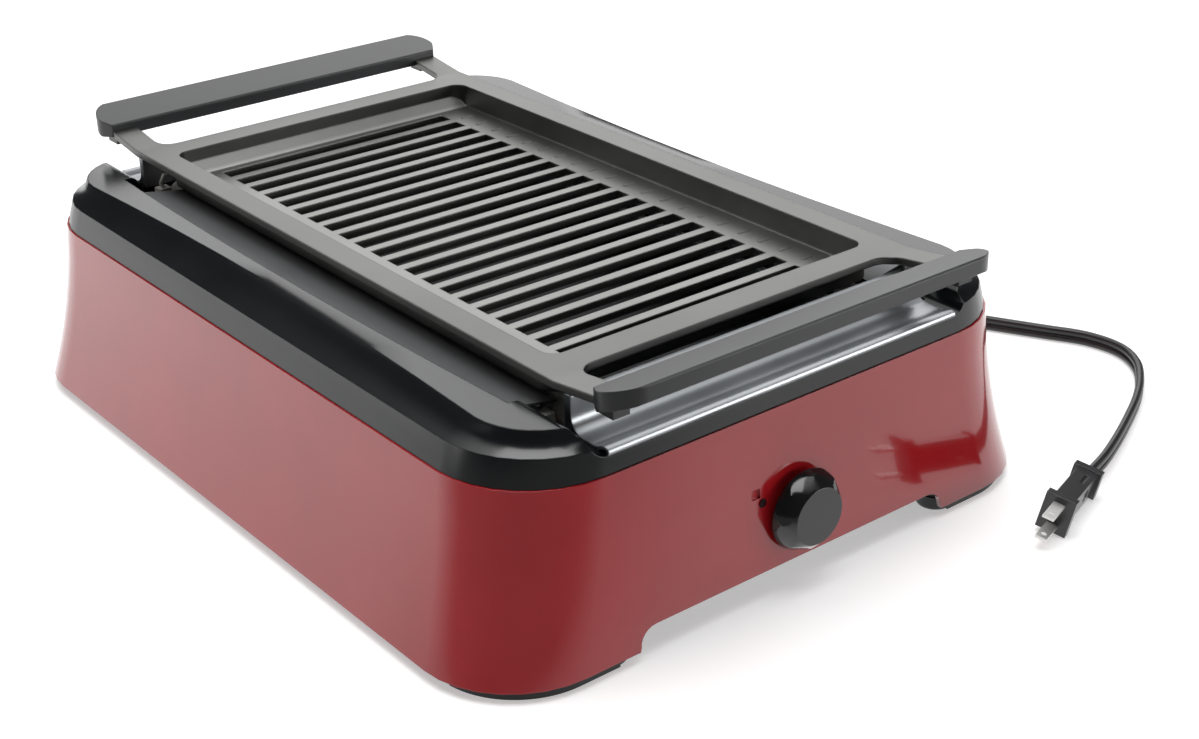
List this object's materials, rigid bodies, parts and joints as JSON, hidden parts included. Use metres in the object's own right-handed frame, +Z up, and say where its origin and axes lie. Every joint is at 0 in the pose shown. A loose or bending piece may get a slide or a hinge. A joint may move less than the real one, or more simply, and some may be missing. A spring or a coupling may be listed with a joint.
{
  "type": "electric indoor grill",
  "caption": "Tabletop radiant grill: flared red housing, black rim, lift-off slotted grate with raised handles, drip tray, side heating tubes, dial and cord with plug.",
  "frame": {"origin": "middle of the resting face under the feet, without the cord", "axes": "+Z up, -Y towards the front with the dial, +X to the right of a person facing the dial"},
  "size_m": [0.5257, 0.6451, 0.1518],
  "materials": {
    "red_gloss": "deep red moulded plastic, glossy",
    "black_gloss": "black moulded plastic, glossy",
    "black_plastic": "black plastic, satin",
    "foot_rubber": "black rubber",
    "dark_sheet": "dark grey enamelled sheet, satin",
    "galvanised_steel": "zinc plated steel",
    "polished_sheet": "polished reflector sheet",
    "quartz": "clear quartz tube",
    "heating_wire": "wound resistance wire",
    "ceramic": "white unglazed ceramic",
    "dial_plastic": "black gloss dial with a grey face",
    "pilot_lens": "dark unlit lens",
    "tray_steel": "bright brushed steel",
    "cast_grate": "cast aluminium with a grey non-stick coat, satin",
    "handle_plastic": "dark grey heat resistant plastic, satin",
    "cord_rubber": "black flexible plastic",
    "plated_blades": "nickel plated blades"
  },
  "bodies": {
    "housing": {"lower_housing": "red_gloss", "upper_housing": "black_gloss", "base_plate": "black_plastic", "foot_front_left": "foot_rubber", "foot_front_right": "foot_rubber", "foot_back_left": "foot_rubber", "foot_back_right": "foot_rubber", "side_panel_left": "dark_sheet", "side_panel_right": "dark_sheet", "heat_shield": "galvanised_steel", "shield_posts": "galvanised_steel", "reflector_left": "polished_sheet", "reflector_right": "polished_sheet", "quartz_tube_left": "quartz", "quartz_tube_right": "quartz", "heating_wire_left": "heating_wire", "heating_wire_right": "heating_wire", "ceramic_caps_left": "ceramic", "ceramic_caps_right": "ceramic", "bracket_front_left": "galvanised_steel", "bracket_front_right": "galvanised_steel", "bracket_back_left": "galvanised_steel", "bracket_back_right": "galvanised_steel", "terminal_posts": "ceramic", "thermostat": "black_plastic", "dial_nut": "galvanised_steel", "pilot_lens": "pilot_lens", "thermal_cutout": "black_plastic", "mains_terminal": "ceramic", "base_screws": "galvanised_steel", "housing_screws": "galvanised_steel", "strain_relief": "cord_rubber", "power_cord": "cord_rubber", "plug_body": "cord_rubber", "plug_blades": "plated_blades"},
    "dial": {"dial": "dial_plastic", "dial_shaft": "galvanised_steel"},
    "tray": {"drip_tray": "tray_steel"},
    "grate": {"grate": "cast_grate", "handle_front": "handle_plastic", "handle_back": "handle_plastic", "handle_screws_front": "galvanised_steel", "handle_screws_back": "galvanised_steel"}
  },
  "joints": [
    {"name": "dial_turn", "type": "hinge", "parent": "housing", "child": "dial", "pos_m": [0.0022, -0.25, 0.0436], "axis": [0, 1, 0], "range_deg": [0, 270]},
    {"name": "grate_lift", "type": "slide", "parent": "housing", "child": "grate", "axis": [0, 0, 1], "range_m": [0, 0.13]},
    {"name": "tray_lift", "type": "slide", "parent": "housing", "child": "tray", "axis": [0, 0, 1], "range_m": [0, 0.065]}
  ],
  "couplings": [
    {"joint": "tray_lift", "follows": "grate_lift", "ratio": 0.5}
  ]
}
